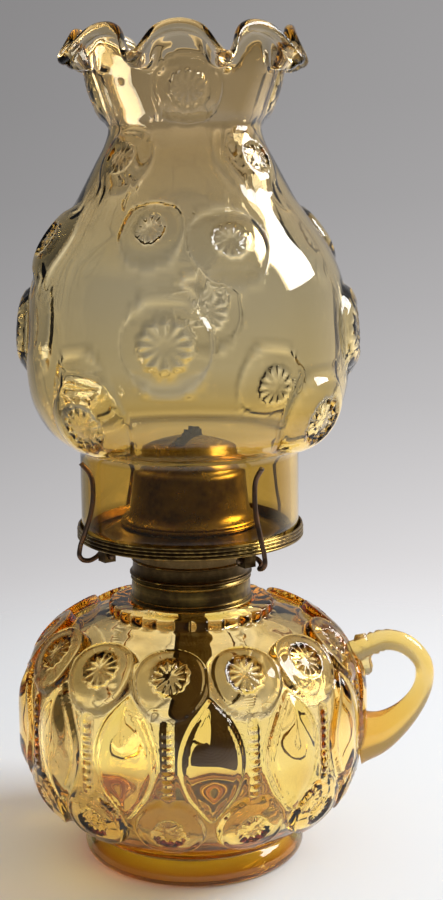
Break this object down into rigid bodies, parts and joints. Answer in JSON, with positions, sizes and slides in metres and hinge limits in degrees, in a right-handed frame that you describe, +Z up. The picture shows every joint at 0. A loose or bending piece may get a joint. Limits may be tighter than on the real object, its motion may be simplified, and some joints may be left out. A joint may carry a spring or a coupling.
{
  "type": "hurricane lamp",
  "caption": "Kerosene finger lamp with a footed pressed-glass font, an applied loop handle, a flat-wick brass burner with sprung prongs, and a bulbous glass chimney with a crimped rim.",
  "frame": {"origin": "middle of the lamp's footprint box, at the level of the foot's underside; the lamp's own axis stands at x = -12.48 mm, because the handle widens the box on one side", "axes": "+Z up along the lamp's axis, +X towards the handle, -Y towards the camera side"},
  "size_m": [0.1488, 0.1248, 0.2881],
  "materials": {
    "amber_glass": "fire-polished pressed amber glass",
    "honey_glass": "fire-polished honey-amber glass",
    "pale_glass": "blown pale smoky amber glass",
    "aged_brass": "aged, heat-darkened satin brass",
    "bright_brass": "satin brass with light tarnish",
    "dark_steel": "heat-blued spring wire",
    "plaster": "matte set plaster",
    "cotton": "woven cotton tape, charred at its top edge"
  },
  "bodies": {
    "base": {"font": "amber_glass", "handle": "honey_glass", "collar": "aged_brass", "collar_plaster": "plaster"},
    "burner": {"burner_cup": "aged_brass", "gallery": "aged_brass", "cone": "aged_brass", "air_diffuser": "bright_brass", "wick_tube": "bright_brass", "gear_housing": "bright_brass", "shaft_bushing": "bright_brass", "vent_tube": "bright_brass", "prong_clip_1": "aged_brass", "prong_clip_2": "aged_brass", "prong_clip_3": "aged_brass", "prong_clip_4": "aged_brass"},
    "raiser": {"wick_shaft": "bright_brass", "spur_wheel_1": "bright_brass", "spur_wheel_2": "bright_brass", "spur_wheel_3": "bright_brass", "thumb_wheel": "bright_brass"},
    "wick": {"wick": "cotton"},
    "prong_1": {"prong_1": "dark_steel"},
    "prong_2": {"prong_2": "dark_steel"},
    "prong_3": {"prong_3": "dark_steel"},
    "prong_4": {"prong_4": "dark_steel"},
    "chimney": {"chimney": "pale_glass"}
  },
  "joints": [
    {"name": "burner_turn", "type": "hinge", "parent": "base", "child": "burner", "pos_m": [-0.01229, 0.00005, 0.1], "axis": [0, 0, 1], "range_deg": [0, 360]},
    {"name": "chimney_lift", "type": "slide", "parent": "burner", "child": "chimney", "axis": [0, 0, 1], "range_m": [0, 0.18]},
    {"name": "wick_wheel_turn", "type": "hinge", "parent": "burner", "child": "raiser", "pos_m": [-0.01727, 0.00186, 0.10755], "axis": [-0.342, -0.9397, 0], "range_deg": [-145, 165]},
    {"name": "wick_rise", "type": "slide", "parent": "burner", "child": "wick", "axis": [0, 0, 1], "range_m": [-0.0102, 0.0116]},
    {"name": "prong_1_spring", "type": "hinge", "parent": "burner", "child": "prong_1", "pos_m": [0.00645, -0.0288, 0.11295], "axis": [0.8387, 0.5446, 0], "range_deg": [0, 8], "stiffness_Nm_per_rad": 0.4, "springref_deg": -2.86},
    {"name": "prong_2_spring", "type": "hinge", "parent": "burner", "child": "prong_2", "pos_m": [-0.04081, -0.01918, 0.11295], "axis": [0.5592, -0.829, 0], "range_deg": [0, 8], "stiffness_Nm_per_rad": 0.4, "springref_deg": -2.86},
    {"name": "prong_3_spring", "type": "hinge", "parent": "burner", "child": "prong_3", "pos_m": [0.01688, 0.01828, 0.11295], "axis": [-0.5299, 0.848, 0], "range_deg": [0, 8], "stiffness_Nm_per_rad": 0.4, "springref_deg": -2.86},
    {"name": "prong_4_spring", "type": "hinge", "parent": "burner", "child": "prong_4", "pos_m": [-0.03153, 0.02857, 0.11295], "axis": [-0.829, -0.5592, 0], "range_deg": [0, 8], "stiffness_Nm_per_rad": 0.4, "springref_deg": -2.86}
  ],
  "couplings": [
    {"joint": "wick_rise", "follows": "wick_wheel_turn", "m_per_rad": 0.004}
  ]
}
